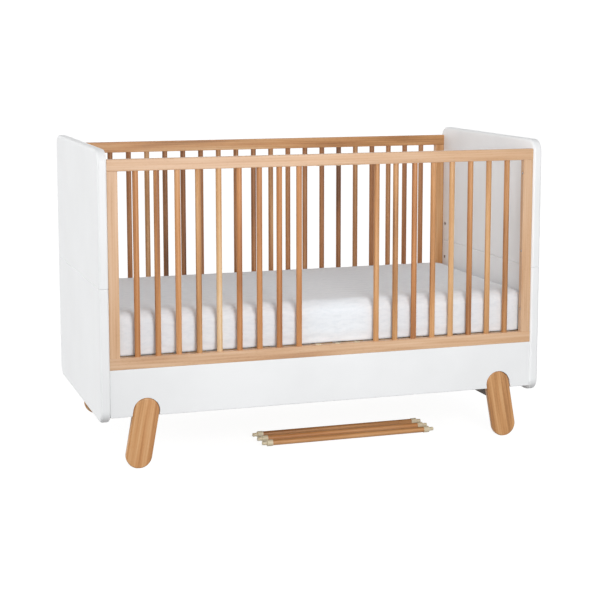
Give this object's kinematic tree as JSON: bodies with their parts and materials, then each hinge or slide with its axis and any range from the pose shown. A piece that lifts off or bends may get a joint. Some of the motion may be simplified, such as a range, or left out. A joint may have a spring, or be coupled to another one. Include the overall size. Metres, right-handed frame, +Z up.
{
  "type": "baby crib",
  "caption": "Baby crib with solid end boards, slatted sides, splayed legs, a height-adjustable slatted base, a mattress and removable rungs laid beneath it.",
  "frame": {"origin": "on the floor under the middle of the crib", "axes": "+X along the crib to the right seen from the front, +Y from front to back, +Z up"},
  "size_m": [1.464, 0.758, 0.982],
  "materials": {
    "white_lacquer": "satin lacquer on board",
    "beech": "satin clear lacquer",
    "plain_wood": "untreated",
    "knit_cover": "quilted knit",
    "steel": "zinc plated",
    "cream_plastic": "moulded"
  },
  "bodies": {
    "crib_frame": {"left_end_lower": "white_lacquer", "left_end_upper": "white_lacquer", "left_crossbeam": "beech", "right_end_lower": "white_lacquer", "right_end_upper": "white_lacquer", "right_crossbeam": "beech", "front_apron": "white_lacquer", "front_top_rail": "beech", "front_bottom_rail": "beech", "front_left_stile": "beech", "front_left_leg": "beech", "front_spindles_left": "beech", "front_right_stile": "beech", "front_right_leg": "beech", "front_spindles_right": "beech", "back_apron": "white_lacquer", "back_top_rail": "beech", "back_bottom_rail": "beech", "back_left_stile": "beech", "back_left_leg": "beech", "back_spindles_left": "beech", "back_right_stile": "beech", "back_right_leg": "beech", "back_spindles_right": "beech", "lower_rung_sockets": "cream_plastic", "upper_rung_sockets": "cream_plastic", "leg_brackets": "steel", "leg_screws": "steel", "frame_bolts": "steel", "frame_inserts": "steel", "base_inserts": "steel", "base_bolts": "steel", "apron_cams": "steel", "apron_cam_bolts": "steel", "board_dowels": "plain_wood", "frame_dowels": "plain_wood"},
    "mattress_base": {"base_left_rail": "plain_wood", "base_right_rail": "plain_wood", "base_front_rail": "plain_wood", "base_middle_rail": "plain_wood", "base_back_rail": "plain_wood", "base_slats": "plain_wood", "base_dowels": "plain_wood"},
    "mattress": {"mattress": "knit_cover"},
    "rung_1": {"rung_1_rod": "beech", "rung_1_fixed_cap": "cream_plastic", "rung_1_sprung_cap": "cream_plastic", "rung_1_spring": "steel"},
    "rung_1_peg": {"rung_1_peg": "cream_plastic"},
    "rung_2": {"rung_2_rod": "beech", "rung_2_fixed_cap": "cream_plastic", "rung_2_sprung_cap": "cream_plastic", "rung_2_spring": "steel"},
    "rung_2_peg": {"rung_2_peg": "cream_plastic"},
    "rung_3": {"rung_3_rod": "beech", "rung_3_fixed_cap": "cream_plastic", "rung_3_sprung_cap": "cream_plastic", "rung_3_spring": "steel"},
    "rung_3_peg": {"rung_3_peg": "cream_plastic"}
  },
  "joints": [
    {"name": "base_height", "type": "slide", "parent": "crib_frame", "child": "mattress_base", "axis": [0, 0, 1], "range_m": [0, 0.299]},
    {"name": "mattress_lift", "type": "slide", "parent": "mattress_base", "child": "mattress", "axis": [0, 0, 1], "range_m": [0, 0.65]},
    {"name": "rung_1_lift_away", "type": "slide", "parent": "crib_frame", "child": "rung_1", "axis": [0, -0.9063, 0.4226], "range_m": [0, 0.45]},
    {"name": "rung_1_peg_push", "type": "slide", "parent": "rung_1", "child": "rung_1_peg", "axis": [-1, 0, 0], "range_m": [0, 0.016], "stiffness_N_per_m": 250, "springref_m": -0.01, "deforming": ["rung_1_spring"]},
    {"name": "rung_2_lift_away", "type": "slide", "parent": "crib_frame", "child": "rung_2", "axis": [0, -0.9063, 0.4226], "range_m": [0, 0.45]},
    {"name": "rung_2_peg_push", "type": "slide", "parent": "rung_2", "child": "rung_2_peg", "axis": [-1, 0, 0], "range_m": [0, 0.016], "stiffness_N_per_m": 250, "springref_m": -0.01, "deforming": ["rung_2_spring"]},
    {"name": "rung_3_lift_away", "type": "slide", "parent": "crib_frame", "child": "rung_3", "axis": [0, -0.9063, 0.4226], "range_m": [0, 0.45]},
    {"name": "rung_3_peg_push", "type": "slide", "parent": "rung_3", "child": "rung_3_peg", "axis": [-1, 0, 0], "range_m": [0, 0.016], "stiffness_N_per_m": 250, "springref_m": -0.01, "deforming": ["rung_3_spring"]}
  ]
}
